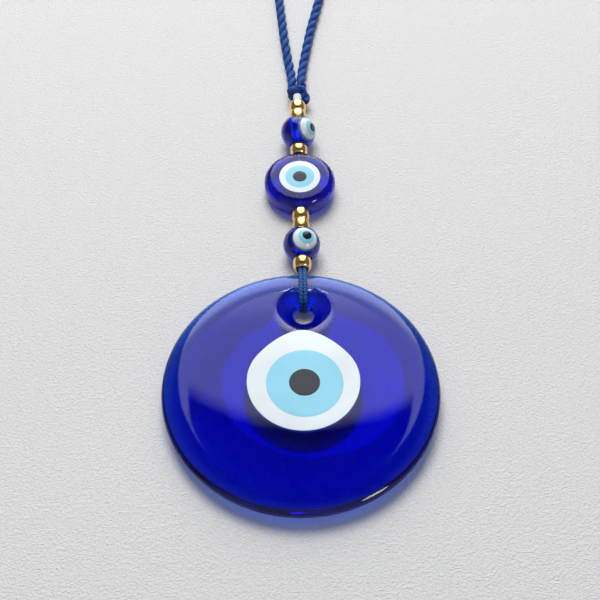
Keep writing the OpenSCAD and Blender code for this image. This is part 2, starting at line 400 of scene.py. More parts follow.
@dataclass
class Tubes:
    """Tubes gathered into one mesh, with a UV map of run and turn.

    Attributes:
        points: the places of their points, a block for each tube.
        faces: their faces, as numbers of points.
        maps: the run and turn at each corner.
        crests: how far each point stands out of the cord's valleys, from 0 to 1, which
            sets the painted shade of the valleys.
        count: the points so far.
    """

    points: list[np.ndarray] = field(default_factory=list)
    faces: list[list[int]] = field(default_factory=list)
    maps: list[tuple[float, float]] = field(default_factory=list)
    crests: list[np.ndarray] = field(default_factory=list)
    count: int = 0

    def add(
        self, route: Route, section: Section, sides: int, core: Route | None = None
    ) -> None:
        """Adds one tube, closed at both ends.

        Args:
            route: the tube's centreline.
            section: its section, which gives from run and angle the distances to the
                side and above, and how far the point stands out of the cord's valleys.
            sides: the points round the tube.
            core: the rope's centreline, if the tube is a strand of a rope.
        """
        angle = np.linspace(0, 2 * math.pi, sides, endpoint=False)
        run, turn = np.meshgrid(route.run, angle, indexing="ij")
        across, above, crest = section(run, turn)
        rings = (
            route.points[:, None]
            + route.side[:, None] * across[..., None]
            + route.up[:, None] * above[..., None]
        )
        if core:
            out = np.linalg.norm(rings - core.points[:, None], axis=2)
            # A strand's crest is its distance out from the rope's middle, which sets
            # the rope's painted shade in its grooves.
            crest = ((out - out.min()) / (out.max() - out.min())) ** CREST_POWER
        self.crests.append(np.broadcast_to(crest, run.shape).ravel())
        rows, base = len(route.run), self.count
        for i in range(rows - 1):
            for k in range(sides):
                a, b = base + i * sides + k, base + i * sides + (k + 1) % sides
                self.faces.append([a, b, b + sides, a + sides])
                near, far = k / sides, (k + 1) / sides
                here, there = route.run[i], route.run[i + 1]
                self.maps += [(here, near), (here, far), (there, far), (there, near)]
        ends = [range(sides - 1, -1, -1), range((rows - 1) * sides, rows * sides)]
        for end in ends:
            self.faces.append([base + k for k in end])
            self.maps += [(0.0, 0.0)] * sides
        self.points.append(rings.reshape(-1, 3))
        self.count += rows * sides

    def piece(self, name: str) -> Object:
        """The gathered mesh as an object, in metres.

        Args:
            name: the piece's name.

        Returns:
            The object.
        """
        mesh = bpy.data.meshes.new(name)
        mesh.from_pydata((np.vstack(self.points) * MM).tolist(), [], self.faces)
        layer = mesh.uv_layers.new(name="lay")
        layer.data.foreach_set("uv", np.array(self.maps, np.float32).ravel())
        crest = mesh.attributes.new("crest", "FLOAT", "POINT")
        crest.data.foreach_set("value", np.concatenate(self.crests).astype(np.float32))
        obj = bpy.data.objects.new(name, mesh)
        bpy.context.scene.collection.objects.link(obj)
        only(obj)
        bpy.ops.object.shade_smooth_by_angle(angle=math.radians(CORD_CREASE))
        return obj


def round_shape(
    radius: float | np.ndarray, turn: np.ndarray, crest: np.ndarray
) -> Shape:
    """A round section's distances to the side and above, with its crests."""
    return radius * np.cos(turn), radius * np.sin(turn), crest


# ---- effects shared by the finishes ----


class Wiring:
    """Short ways to add nodes to a tree and to join them."""

    def __init__(self, tree: bpy.types.NodeTree) -> None:
        """Works on one tree."""
        self.tree = tree

    def feed(self, socket: Socket, value: Feed) -> None:
        """Gives an input what it reads.

        Args:
            socket: the input.
            value: the socket that feeds it, or its constant. A colour has three parts.
        """
        if isinstance(value, bpy.types.NodeSocket):
            self.tree.links.new(value, socket)
        else:
            socket.default_value = (*value, 1) if socket.type == "RGBA" else value

    def add(
        self,
        kind: str,
        inputs: dict[str | int, Feed],
        out: str | int = 0,
        **settings: str,
    ) -> Socket:
        """Adds a node.

        Args:
            kind: its type, without the prefix.
            inputs: what its inputs read, by name or number.
            out: the output that is wanted.
            settings: the node's own settings.

        Returns:
            The wanted output.
        """
        node = self.tree.nodes.new("ShaderNode" + kind)
        for name, value in settings.items():
            setattr(node, name, value)
        for name, value in inputs.items():
            self.feed(node.inputs[name], value)
        return node.outputs[out]

    def math(self, operation: str, *values: Feed) -> Socket:
        """Adds a Math node and gives its result."""
        return self.add("Math", dict(enumerate(values)), operation=operation)

    def ease(
        self, value: Socket, low: float, high: float, first: float, last: float
    ) -> Socket:
        """Adds a smooth step.

        Args:
            value: what is followed.
            low: where the step starts.
            high: where it ends.
            first: the result up to its start.
            last: the result from its end.

        Returns:
            The result.
        """
        inputs = {"Value": value, "From Min": low, "From Max": high}
        inputs |= {"To Min": first, "To Max": last}
        return self.add("MapRange", inputs, interpolation_type="SMOOTHSTEP")

    def tint(self, mask: Socket, low: Point, high: Point) -> Socket:
        """Mixes two colours by a mask."""
        inputs = {"A": low, "B": high, "Factor": mask}
        return self.add("Mix", inputs, "Result", data_type="RGBA")

    def bump(self, height: Socket, strength: float, depth: float) -> Socket:
        """Makes a normal of a height, where a height of 1 is the depth, in metres."""
        inputs = {"Height": height, "Strength": strength, "Distance": depth}
        return self.add("Bump", inputs)

    def effect(
        self, group: bpy.types.NodeTree, place: str, values: dict[str, float]
    ) -> Sockets:
        """Places a shared effect.

        Args:
            group: the effect.
            place: the coordinates that it reads, UV or Object.
            values: the values of its inputs that differ from its own.

        Returns:
            Its outputs.
        """
        node = self.tree.nodes.new("ShaderNodeGroup")
        node.node_tree = group
        values = values | {"Vector": self.add("TexCoord", {}, place)}
        for label, value in values.items():
            self.feed(node.inputs[label], value)
        return node.outputs


def new_material(name: str) -> tuple[bpy.types.Material, Wiring, Sockets]:
    """Starts a material.

    Args:
        name: its name.

    Returns:
        The material, its wiring and the inputs of its Principled shader.
    """
    material = bpy.data.materials.new(name)
    material.use_nodes = True
    tree = material.node_tree
    return material, Wiring(tree), tree.nodes["Principled BSDF"].inputs


class Effects:
    """Node groups that several finishes use, each built once."""

    @staticmethod
    def _group(
        name: str, inputs: dict[str, float], outputs: tuple[str, ...]
    ) -> tuple[Wiring, Sockets, Sockets]:
        """Starts a node group that reads a place and some numbers.

        Args:
            name: the group's name.
            inputs: the names and starting values of its number inputs.
            outputs: the names of its number outputs.

        Returns:
            Its wiring, what it is given and what it gives out.
        """
        group = bpy.data.node_groups.new(name, "ShaderNodeTree")
        sockets = [("Vector", "INPUT", "NodeSocketVector")]
        sockets += [(label, "INPUT", "NodeSocketFloat") for label in inputs]
        sockets += [(label, "OUTPUT", "NodeSocketFloat") for label in outputs]
        for label, way, kind in sockets:
            socket = group.interface.new_socket(label, in_out=way, socket_type=kind)
            if label in inputs:
                socket.default_value = inputs[label]
        given = group.nodes.new("NodeGroupInput").outputs
        return Wiring(group), given, group.nodes.new("NodeGroupOutput").inputs

    @classmethod
    def mottle(cls) -> bpy.types.NodeTree:
        """Cloudy unevenness over fine specks: outputs Cloud and Speck, from 0 to 1.

        Returns:
            The group.
        """
        if "mottle" in bpy.data.node_groups:
            return bpy.data.node_groups["mottle"]
        scales = {"Cloud Scale": 60.0, "Speck Scale": 900.0}
        wiring, given, out = cls._group("mottle", scales, ("Cloud", "Speck"))
        masks = (("Cloud", 3.0, 0.35, 0.65), ("Speck", 2.0, 0.62, 0.8))
        for label, detail, low, high in masks:
            inputs = {"Vector": given["Vector"], "Scale": given[label + " Scale"]}
            noise = wiring.add("TexNoise", inputs | {"Detail": detail})
            limits = {"Value": noise, "From Min": low, "From Max": high}
            wiring.feed(out[label], wiring.add("MapRange", limits))
        return wiring.tree

    @classmethod
    def fibres(cls) -> bpy.types.NodeTree:
        """Fine yarns round a cord, from run and turn: outputs Yarn and Fuzz, 0 to 1.

        Returns:
            The group.
        """
        if "fibres" in bpy.data.node_groups:
            return bpy.data.node_groups["fibres"]
        starts = {"Count": 8.0, "Skew": 0.3}
        wiring, given, out = cls._group("fibres", starts, ("Yarn", "Fuzz"))
        lay = wiring.add("SeparateXYZ", {0: given["Vector"]}).node.outputs
        around = wiring.math("MULTIPLY", lay["Y"], given["Count"])
        along = wiring.math("MULTIPLY", lay["X"], given["Skew"])
        turns = wiring.math("ADD", around, along)
        wave = wiring.math("SINE", wiring.math("MULTIPLY", turns, 2 * math.pi))
        half = wiring.math("MULTIPLY", wave, 0.5)
        wiring.feed(out["Yarn"], wiring.math("ADD", half, 0.5))
        run = wiring.math("MULTIPLY", lay["X"], 1.5)
        turn = wiring.math("MULTIPLY", around, 3.0)
        place = wiring.add("CombineXYZ", {0: run, 1: turn})
        fuzz = wiring.add("TexNoise", {"Vector": place, "Scale": 1.0, "Detail": 3.0})
        wiring.feed(out["Fuzz"], fuzz)
        return wiring.tree


@dataclass(frozen=True)
class Finish:
    """Opaque glass: a glossy skin, a little cloudy, with a few specks.

    Attributes:
        slot: the record's material slot.
        color: the base colour.
        roughness: the lowest roughness.
        spread: how much rougher it gets in places.
    """

    PALER, LIFT, DEEPER = 1.04, 0.004, 0.93

    slot: str
    color: Point
    roughness: float = 0.1
    spread: float = 0.06

    def material(self) -> bpy.types.Material:
        """The finish as a material, made once.

        Returns:
            The material.
        """
        name = self.slot + "_finish"
        if name in bpy.data.materials:
            return bpy.data.materials[name]
        material, wiring, skin = new_material(name)
        wiring.feed(skin["Base Color"], self.color)
        wiring.feed(skin["Roughness"], self.roughness)
        self.make(wiring, skin)
        return material

    def mottled(
        self,
        wiring: Wiring,
        skin: Sockets,
        strength: float,
        depth: float,
        **scales: float,
    ) -> Socket:
        """Gives a skin rougher specks and a faint unevenness.

        Args:
            wiring: the material's wiring.
            skin: its shader's inputs.
            strength: how much of the unevenness shows.
            depth: its depth, in metres.
            scales: the effect's scales, if they aren't its own.

        Returns:
            The mask of the clouds.
        """
        values = {label + " Scale": scale for label, scale in scales.items()}
        mottle = wiring.effect(Effects.mottle(), "Object", values)
        limits = {"To Min": self.roughness, "To Max": self.roughness + self.spread}
        specks = wiring.add("MapRange", {"Value": mottle["Speck"], **limits})
        wiring.feed(skin["Roughness"], specks)
        wiring.feed(skin["Normal"], wiring.bump(mottle["Cloud"], strength, depth))
        return mottle["Cloud"]

    def make(self, wiring: Wiring, skin: Sockets) -> None:
        """Makes the opaque glass.

        Args:
            wiring: the material's wiring.
            skin: its shader's inputs.
        """
        cloud = self.mottled(wiring, skin, 0.15, 0.0001)
        pale = tuple(min(1.0, part * self.PALER + self.LIFT) for part in self.color)
        deep = tuple(part * self.DEEPER for part in self.color)
        wiring.feed(skin["Base Color"], wiring.tint(cloud, deep, pale))


@dataclass(frozen=True)
class ClearGlass(Finish):
    """Coloured glass that light passes through.

    Attributes:
        depth_color: the colour that its depth takes light towards.
        density: how fast it does, for each metre.
        ior: how strongly it bends light.
    """

    depth_color: Point = (0.0, 0.51, 0.974)
    density: float = 1100.0
    ior: float = 1.5

    def make(self, wiring: Wiring, skin: Sockets) -> None:
        """Makes the glass, which darkens light by its depth.

        Args:
            wiring: the material's wiring.
            skin: its shader's inputs.
        """
        wiring.feed(skin["Transmission Weight"], 1.0)
        wiring.feed(skin["IOR"], self.ior)
        self.mottled(wiring, skin, 0.2, 0.0001)
        inputs = {"Color": self.depth_color, "Density": self.density}
        depth = wiring.add("VolumeAbsorption", inputs)
        wiring.feed(wiring.tree.nodes["Material Output"].inputs["Volume"], depth)


@dataclass(frozen=True)
class Plating(Finish):
    """Polished plating with faint wear."""

    WORN = 0.86

    def make(self, wiring: Wiring, skin: Sockets) -> None:
        """Makes the plating.

        Args:
            wiring: the material's wiring.
            skin: its shader's inputs.
        """
        wiring.feed(skin["Metallic"], 1.0)
        cloud = self.mottled(wiring, skin, 0.2, 0.00003, Cloud=500.0, Speck=3500.0)
        worn = tuple(part * self.WORN for part in self.color)
        wiring.feed(skin["Base Color"], wiring.tint(cloud, self.color, worn))


@dataclass(frozen=True)
class Thread(Finish):
    """Spun or braided yarn, with painted shade between the yarns and in the cord's
    grooves.

    Attributes:
        valley_shade: the painted shade colour in the grooves and between the yarns.
        count: yarns round the strand.
        skew: how fast the yarns turn round it, in turns of one yarn a millimetre.
    """

    YARN_SHARE, FUZZ_SHARE, LOWERED = 0.35, 0.45, 0.5

    valley_shade: Point = (0.0, 0.01, 0.1)
    count: float = 8.0
    skew: float = 0.5

    def make(self, wiring: Wiring, skin: Sockets) -> None:
        """Makes the yarn.

        Args:
            wiring: the material's wiring.
            skin: its shader's inputs.
        """
        wiring.feed(skin["Sheen Weight"], 0.06)
        wiring.feed(skin["Sheen Roughness"], 0.4)
        wiring.feed(skin["Specular IOR Level"], 0.25)
        values = {"Count": self.count, "Skew": self.skew}
        fibres = wiring.effect(Effects.fibres(), "UV", values)
        crest = wiring.add("Attribute", {}, "Fac", attribute_name="crest")
        yarn = wiring.math(
            "ADD",
            wiring.math("MULTIPLY", fibres["Yarn"], self.YARN_SHARE),
            wiring.math("MULTIPLY", fibres["Fuzz"], self.FUZZ_SHARE),
        )
        # Painted shade: the colour darkens towards the shade colour in the grooves,
        # away from the crests, and between the yarns; the fuzz adds random tone.
        shade = wiring.math("ADD", wiring.math("ADD", yarn, -self.LOWERED), crest)
        wiring.feed(skin["Base Color"], wiring.tint(shade, self.valley_shade, self.color))
        wiring.feed(skin["Normal"], wiring.bump(yarn, 0.8, 0.00012))


class Finishes(Enum):
    """The ornament's finishes."""

    COBALT = ClearGlass("cobalt_glass", (0.9, 0.95, 1.0), 0.01, 0.04)
    WHITE = Finish("white_glass", (0.68, 0.74, 0.78))
    SKY = Finish("sky_glass", (0.235, 0.58, 0.74))
    AQUA = Finish("aqua_glass", (0.22, 0.6, 0.72))
    INK = Finish("ink_glass", (0.006, 0.012, 0.02), 0.12)
    GILT = Plating("gilt", (1.0, 0.68, 0.27), 0.2, 0.1)
    # The braid, rope and core each carry a painted shade colour for their grooves and
    # the gaps between their yarns.
    BRAID = Thread("braid", (0.02, 0.12, 0.4), 0.6, valley_shade=(0.0, 0.004, 0.035))
    ROPE = Thread("twisted_cord", (0.007, 0.066, 0.32), 0.6, valley_shade=(0.0, 0.005, 0.045))
    CORE = Thread("core_thread", (0.85, 0.87, 0.9), 0.7, valley_shade=(0.45, 0.48, 0.55))


def dress(obj: Object, finish: Finishes, body: str | None, *nodes: str) -> Object:
    """Gives a piece its finish, its body and the nodes it stands for.

    Args:
        obj: the piece, in place.
        finish: its finish.
        body: the body that it rides on, or None if it rides on none.
        nodes: the CAD nodes that it stands for.

    Returns:
        The piece.
    """
    obj.data.materials.clear()
    obj.data.materials.append(finish.value.material())
    if body:
        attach(obj, body)
    if nodes:
        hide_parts(*nodes)
    log.info("%s: %d faces, %s", obj.name, len(obj.data.polygons), finish.value.slot)
    return obj


def eye_colours(iris: Finishes) -> tuple[tuple[str, Finishes], ...]:
    """The colours of an eye from the outside in, with their finishes."""
    return ("white", Finishes.WHITE), ("iris", iris), ("pupil", Finishes.INK)


# ---- the disc ----


@dataclass
class EyeDisc:
    """The pierced glass disc and the eye let into its face, in millimetres.

    Attributes:
        shoulder_z: the face's height where it turns down into the rim.
        rim_w: the rim's width, seen from above.
        back_w: the width of the back's outer part, which has closer rings.
        rim_z: the height of the widest place.
        back_fullness: how flat the back is.
        hole_edge: how far the hole's middle lies from the disc's edge.
        waist_r: the hole's radius at its waist.
        waist_h: the height of the waist.
        mouth_r: the radius of the funnel's mouth.
        mouth_shift: how far the mouth lies nearer to the disc's middle than the hole.
        funnel_depth: the funnel's depth below the face.
        flare: the angle at which the funnel's curve meets the face.
        lip_r: the rounding of the hole's edge on the back.
        layer_t: how much deeper each colour goes than the next.
        proud: how far the white, the iris and the pupil stand out of the face.
        white_peak: how far the white drop's point stands out of its circle.
        sides: the points of each ring.
    """

    shoulder_z: float = 6.4
    rim_w: float = 6.3
    back_w: float = 8.25
    rim_z: float = 4.1
    back_fullness: float = 2.2
    hole_edge: float = 12.1
    waist_r: float = 2.9
    waist_h: float = 0.8
    mouth_r: float = 7.6
    mouth_shift: float = 0.45
    funnel_depth: float = 4.9
    flare: float = math.radians(50)
    lip_r: float = 0.9
    layer_t: float = 0.8
    proud: tuple[float, ...] = (0.02, 0.035, 0.05)
    white_peak: float = 0.9
    sides: int = 160

    def __post_init__(self) -> None:
        """Takes the overall sizes from the part."""
        whole = Span.of("disc_glass")
        self.radius = whole.size.x / 2
        self.top_z = Span.of("disc_pupil").high.z
        self.white_r = Span.of("disc_white").size.x / 2
        self.shoulder_r = self.radius - self.rim_w
        self.hole_y = self.radius - self.hole_edge
        self.mouth_y = self.hole_y - self.mouth_shift
        self.throat = self.waist_r - 0.5
        self.spread = (self.mouth_r - self.throat) / (1 - math.cos(self.flare))

    def face(self, x: float, y: float) -> float:
        """Height of the disc's face, without the hole.

        Args:
            x: the place across.
            y: the place along.

        Returns:
            The height there.
        """
        out = math.hypot(x, y)
        if out <= self.shoulder_r:
            fall = (self.top_z - self.shoulder_z) * (out / self.shoulder_r) ** 2
            return self.top_z - fall
        share = min(1.0, (out - self.shoulder_r) / self.rim_w)
        return self.rim_z + (self.shoulder_z - self.rim_z) * math.sqrt(1 - share**2)

    def pierced_face(self, x: float, y: float) -> float:
        """Height of the disc's face, with the funnel that leads to the hole.

        Args:
            x: the place across.
            y: the place along.

        Returns:
            The height there.
        """
        near = math.hypot(x - STRING_X, y - self.mouth_y)
        if near >= self.mouth_r:
            return self.face(x, y)
        turned = math.acos(1 - max(0.0, near - self.throat) / self.spread)
        share = 1 - math.sin(turned) / math.sin(self.flare)
        return self.face(x, y) - self.funnel_depth * share

    def back(self, x: float, y: float) -> float:
        """Height of the disc's back, a shallow dome that turns up into the rim.

        Args:
            x: the place across.
            y: the place along.

        Returns:
            The height there.
        """
        share = min(1.0, math.hypot(x, y) / self.radius)
        return self.rim_z * (1 - math.sqrt(1 - share**self.back_fullness))

    def rings(self) -> list[Ring]:
        """The glass as one loft: up the hole, over the face and the rim, and back.

        Returns:
            Its rings.
        """
        lip_z = self.back(STRING_X, self.hole_y) + self.lip_r
        hole = {"x": STRING_X, "y": self.hole_y}
        rings = [
            Ring(self.waist_r, lip_z, **hole),
            Ring(self.waist_r, lip_z + self.waist_h, **hole),
            Ring(self.waist_r, lay=self.pierced_face, **hole),
        ]
        start = math.acos(1 - (self.waist_r - self.throat) / self.spread)
        for share in np.linspace(0, 1, 13)[1:]:
            turned = start + (self.flare - start) * share
            radius = self.throat + self.spread * (1 - math.cos(turned))
            y = self.hole_y - self.mouth_shift * share
            rings.append(Ring(radius, x=STRING_X, y=y, lay=self.pierced_face))
        for share in np.linspace(0, 1, 31)[1:]:
            radius = self.mouth_r + (self.shoulder_r - self.mouth_r) * share
            x, y = STRING_X * (1 - share), self.mouth_y * (1 - share)
            rings.append(Ring(radius, x=x, y=y, lay=self.pierced_face))
        rim_top = (self.rim_w, self.shoulder_z - self.rim_z)
        rings += arc((self.shoulder_r, self.rim_z), rim_top, 84, 0, 14)
        back_r = self.radius - self.back_w
        for ring in arc((back_r, 0), (self.back_w, 0), -6, -90, 14):
            rings.append(Ring(ring.radius, self.back(ring.radius, 0)))
        lip_out = self.waist_r + self.lip_r
        for share in np.linspace(0, 1, 25)[1:]:
            radius = back_r + (lip_out - back_r) * share
            x, y = STRING_X * share, self.hole_y * share
            rings.append(Ring(radius, x=x, y=y, lay=self.back))
        for turned in np.radians([60, 35, 15]):

            def lip(x: float, y: float, rise: float = 1 - math.sin(turned)) -> float:
                """Height of the lip, between the back's and the hole's."""
                return self.back(x, y) * (1 - rise) + lip_z * rise

            rings.append(Ring(lip_out - self.lip_r * math.cos(turned), lay=lip, **hole))
        return [*rings, rings[0]]

    def drop(self, angle: float) -> float:
        """The white drop's outline: a soft point with a shallow waist on each side.

        Args:
            angle: the angle round its circle.

        Returns:
            How far it stands out of the circle there, as a factor.
        """
        off = math.degrees(abs(math.remainder(angle - math.pi / 2, 2 * math.pi)))
        point = math.exp(-((off / 18) ** 2))
        waist = math.exp(-(((off - 45) / 20) ** 2)) / 2
        return 1 + (point - waist) * self.white_peak / self.white_r

    def layer(
        self,
        name: str,
        span: Span,
        depth: float,
        proud: float,
        drop: bool,
    ) -> Object:
        """One colour of the eye, let into the glass.

        Args:
            name: the piece's name.
            span: the box of its CAD node.
            depth: how deep it goes.
            proud: how far it stands out of the face.
            drop: whether it is drawn out to a soft point.

        Returns:
            The piece.
        """
        x, radius = span.middle.x, span.size.x / 2
        y = span.high.y - radius - (self.white_peak if drop else 0)
        top = radius - 0.2
        profile = [
            (radius - 0.3, -depth),
            (radius, -depth + 0.3),
            (radius, -0.1),
            (radius - 0.02, proud * 0.2),
            (radius - 0.1, proud * 0.8),
            (top, proud),
        ]
        profile += [(top * (1 - k), proud) for k in np.linspace(0, 1, 15)[1:-1]]
        profile.append((0, proud))

        def over(rise: float) -> Height:
            """A surface that follows the face above or below it."""
            return lambda px, py: self.face(px, py) + rise

        rings = [Ring(r, x=x, y=y, lay=over(rise)) for r, rise in profile]
        return loft(name, rings, self.sides, True, self.drop if drop else None)

    def build(self) -> None:
        """Builds and dresses the disc."""
        glass = put(loft("glass_disc", self.rings(), self.sides, False), (0, 0, 0))
        dress(glass, Finishes.COBALT, "disc", "disc_glass")
        for i, (label, finish) in enumerate(eye_colours(Finishes.SKY)):
            node, depth = "disc_" + label, (3 - i) * self.layer_t
            piece = self.layer(
                "eye_" + label, Span.of(node), depth, self.proud[i], label == "white"
            )
            dress(put(piece, (0, 0, 0)), finish, "disc", node)


# ---- the beads ----


@dataclass
class GiltBeads:
    """The gilt spacer beads, in millimetres.

    Attributes:
        count: how many there are.
        hole_r: the bore's radius.
        rim: the width of the flat ring round the bore.
        lip: how far the bore's edge is rounded.
        turn_step: how much further each is turned than the one before, in degrees.
        fullness: how square the swell is.
        steps: the rounds of points on each half.
        sides: the points of each round.
    """

    count: int = 6
    hole_r: float = 1.5
    rim: float = 0.15
    lip: float = 0.04
    turn_step: float = 37.0
    fullness: float = 2.4
    steps: int = 14
    sides: int = 72

    def build(self) -> None:
        """Turns one bead and copies it to its places."""
        first = Span.of("gilt_bead_1")
        half, bead_r = first.size.y / 2, first.size.x / 2
        end_r = self.hole_r + self.rim
        rings = [Ring(self.hole_r, half * k) for k in (0.9, 0.4, -0.4, -0.9)]
        rings.append(Ring(self.hole_r + self.lip, -half))
        for share in np.sin(np.linspace(-math.pi / 2, math.pi / 2, 2 * self.steps + 1)):
            swell = math.sqrt(max(0.0, 1 - abs(share) ** self.fullness))
            rings.append(Ring(end_r + (bead_r - end_r) * swell, half * share))
        rings.append(Ring(self.hole_r + self.lip, half))
        rings.append(rings[0])
        pattern = loft("gilt_pattern", rings, self.sides, False)
        for i in range(1, self.count + 1):
            node = f"gilt_bead_{i}"
            bead = bpy.data.objects.new(f"gilt_{i}", pattern.data.copy())
            bpy.context.scene.collection.objects.link(bead)
            put(bead, Span.of(node).middle, (-90, self.turn_step * i, 0))
            dress(bead, Finishes.GILT, node, node)
        bpy.data.objects.remove(pattern)


@dataclass
class RoundBead:
    """A round glass bead with an eye, in millimetres.

    Attributes:
        key: the bead's name in the part.
        eye: turn to +X and lean to -Y of the white, the iris and the pupil, in degrees.
        eye_r: their radii.
        proud: how far each stands out of the one before.
        hole_r: the bore's radius.
        sides: the points round it.
    """

    key: str
    eye: tuple[tuple[float, float], ...]
    eye_r: tuple[float, ...] = (3.25, 2.2, 1.3)
    proud: float = 0.012
    hole_r: float = 1.45
    sides: int = 96

    def layer(self, name: str, ball_r: float, radius: float, depth: float) -> Object:
        """A cap of the ball, about the Z axis, with a foot that goes into the glass.

        Args:
            name: the piece's name.
            ball_r: the ball's radius.
            radius: the cap's radius.
            depth: how far the foot goes below the cap's edge.

        Returns:
            The piece.
        """
        edge = math.asin(radius / ball_r)
        rings = [
            Ring(radius - 0.15, ball_r * math.cos(edge) - depth),
            Ring(radius, ball_r * math.cos(edge) - depth + 0.15),
            Ring(radius, ball_r * math.cos(edge) - 0.04),
        ]
        rings += [
            Ring(ball_r * math.sin(a), ball_r * math.cos(a))
            for a in np.linspace(edge * 0.985, 0, 16)[:-1]
        ]
        rings.append(Ring(0, ball_r))
        return loft(name, rings, self.sides, True)

    def build(self) -> None:
        """Builds and dresses the bead."""
        whole = Span.of(self.key + "_glass")
        ball_r, half = whole.size.x / 2 - self.proud * 4, whole.size.y / 2
        end = math.asin(half / ball_r)
        end_r = ball_r * math.cos(end)
        rings = [Ring(self.hole_r, half * k) for k in (0.93, 0.4, -0.4, -0.93)]
        rings += [Ring(self.hole_r + 0.1, -half), Ring(end_r - 0.1, -half)]
        reach = math.degrees(end) - 1.5
        rings += arc((0, 0), (ball_r, ball_r), -reach, reach, 44)
        rings += [Ring(end_r - 0.1, half), Ring(self.hole_r + 0.1, half), rings[0]]
        ball = loft(self.key + "_ball", rings, self.sides, False)
        at = Vector((STRING_X, whole.middle.y, whole.low.z + ball_r + self.proud * 3))
        put(ball, at, (-90, 0, 0))
        dress(ball, Finishes.COBALT, self.key, self.key + "_glass")
        for i, (label, finish) in enumerate(eye_colours(Finishes.AQUA)):
            turn, lean = self.eye[i]
            cap = self.layer(
                f"{self.key}_{label}_cap",
                ball_r + self.proud * (i + 1),
                self.eye_r[i],
                1.1 - 0.2 * i,
            )
            put(cap, at, (lean, turn, 0))
            dress(cap, finish, self.key, f"{self.key}_{label}")


@dataclass
class CoinBead:
    """The flat glass bead with an eye on both faces, in millimetres.

    Attributes:
        edge: how far its rounding reaches in from its edge.
        hole_r: the bore's radius.
        eye_r: the radii of the white, the iris and the pupil.
        layer_t: how much deeper each goes than the next.
        proud: how far each stands out of the face.
        sunk: how far its faces lie below the part's, to leave room for the colours.
        sides: the points round it.
        eye_sides: the points round each colour.
    """

    edge: float = 2.6
    hole_r: float = 1.35
    eye_r: tuple[float, ...] = (5.75, 4.1, 1.95)
    layer_t: float = 0.4
    proud: tuple[float, ...] = (0.02, 0.035, 0.05)
    sunk: float = 0.055
    sides: int = 144
    eye_sides: int = 96

    def build(self) -> None:
        """Builds and dresses the bead."""
        whole = Span.of("coin_bead_glass")
        radius = whole.size.x / 2
        half_t = Span.of("coin_bead_pupil").high.z - whole.middle.z - self.sunk
        flat = radius - self.edge
        corner = (self.edge, self.edge)
        rings = [Ring(1, -half_t)]
        rings += arc((flat, self.edge - half_t), corner, -90, 0, 12)
        rings += arc((flat, half_t - self.edge), corner, 0, 90, 12)
        rings += [Ring(flat * 0.6, half_t), Ring(0, half_t)]
        coin = loft("coin_body", rings, self.sides, True)
        ground_ends(coin, whole.size.y / 2)
        bored_along_y(coin, self.hole_r, 3 * radius)
        at = Vector((STRING_X, whole.middle.y, whole.middle.z))
        dress(put(coin, at), Finishes.COBALT, "coin_bead", "coin_bead_glass")
        for side, turn in (("bead", 0), ("back", 180)):
            for i, (label, finish) in enumerate(eye_colours(Finishes.SKY)):
                top, r = half_t + self.proud[i], self.eye_r[i]
                foot = half_t - self.layer_t * (3 - i)
                profile = (
                    (r - 0.1, foot),
                    (r, foot + 0.1),
                    (r, half_t - 0.05),
                    (r - 0.02, top - 0.01),
                    (r - 0.08, top),
                    (r * 0.5, top),
                    (0, top),
                )
                node, rings = f"coin_{side}_{label}", [Ring(*p) for p in profile]
                layer = loft(node + "_layer", rings, self.eye_sides, True)
                dress(put(layer, at, (turn, 0, 0)), finish, "coin_bead", node)


# ---- the cords ----


@dataclass
class Tie:
    """The flat braided tie through the disc's hole and over its rim, in millimetres.

    Attributes:
        width: its width over the stitches' valleys.
        thickness: its thickness there.
        step: the distance between two rounds of points.
        sides: the points round it.
        stitch: the length of a stitch.
        relief: how far the stitches stand out.
        tucked: how far both ends go on inside the string.
        fold: where it would start and end to bend, along from the disc's middle; no
            bend is made.
        fold_z: the height of a hinge for that bend, which is not made.
        path: its places along from the disc's edge, and their heights.
    """

    width: float = 2.3
    thickness: float = 0.9
    step: float = 0.12
    sides: int = 36
    stitch: float = 0.98
    relief: float = 0.2
    tucked: float = 0.9
    fold: tuple[float, float] = (33.0, 36.0)
    fold_z: float = 5.0
    path: tuple[tuple[float, float], ...] = (
        (1.1, 5.6), (0.2, 5.95), (-1, 6.3), (-2.4, 6.7), (-4, 6.95), (-5.7, 7.05),
        (-7, 6.95), (-8, 6.6), (-9, 6), (-9.7, 5.1), (-9.8, 4.2), (-9.8, 3.2),
        (-9.75, 2.3), (-9.4, 1.2), (-8.4, 0.75), (-6.8, 0.7), (-5, 0.9), (-3.2, 1.25),
        (-1.8, 1.75), (-0.6, 2.4), (0.3, 3.15), (0.8, 3.9), (1.05, 4.55),
    )

    def section(self, run: np.ndarray, turn: np.ndarray) -> Shape:
        """The braid's section: flat, rounded at its edges, with two rows of stitches.

        Args:
            run: the run at each point.
            turn: the angle at each point.

        Returns:
            The distances to the side and above, and the crests.
        """
        cos, sin = np.cos(turn), np.sin(turn)
        across = np.sign(cos) * np.abs(cos) ** 0.8
        above = np.sign(sin) * np.abs(sin) ** 0.7
        off = np.abs(across)
        wave = np.abs(np.sin(math.pi * (run / self.stitch + 0.75 * off))) ** 0.7
        row = np.sin(math.pi * np.clip(off, 0, 1)) ** 0.6
        swell = self.relief * (wave * 0.65 + row * 0.6 - 0.85)
        # The third part, the crests of the stitches, sets the braid's painted shade
        # between them.
        return (
            across * (self.width / 2 + swell * off * 0.5),
            above * (self.thickness / 2 + swell),
            wave * np.clip(row * 1.3, 0, 1),
        )

    def build(self) -> None:
        """Braids the tie between the disc's side and the string's."""
        disc_r = Span.of("disc_glass").size.x / 2
        points = [[STRING_X, disc_r + y, z] for y, z in self.path]
        for end in (0, -1):
            points[end][1] += self.tucked
        tubes = Tubes()
        tubes.add(Route(points, self.step, side=(1, 0, 0)), self.section, self.sides)
        tie = tubes.piece("braided_tie")
        dress(tie, Finishes.BRAID, None, "tie_loop")
        start, end = ([STRING_X * MM, y * MM, self.fold_z * MM] for y in self.fold)
        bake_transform(tie)


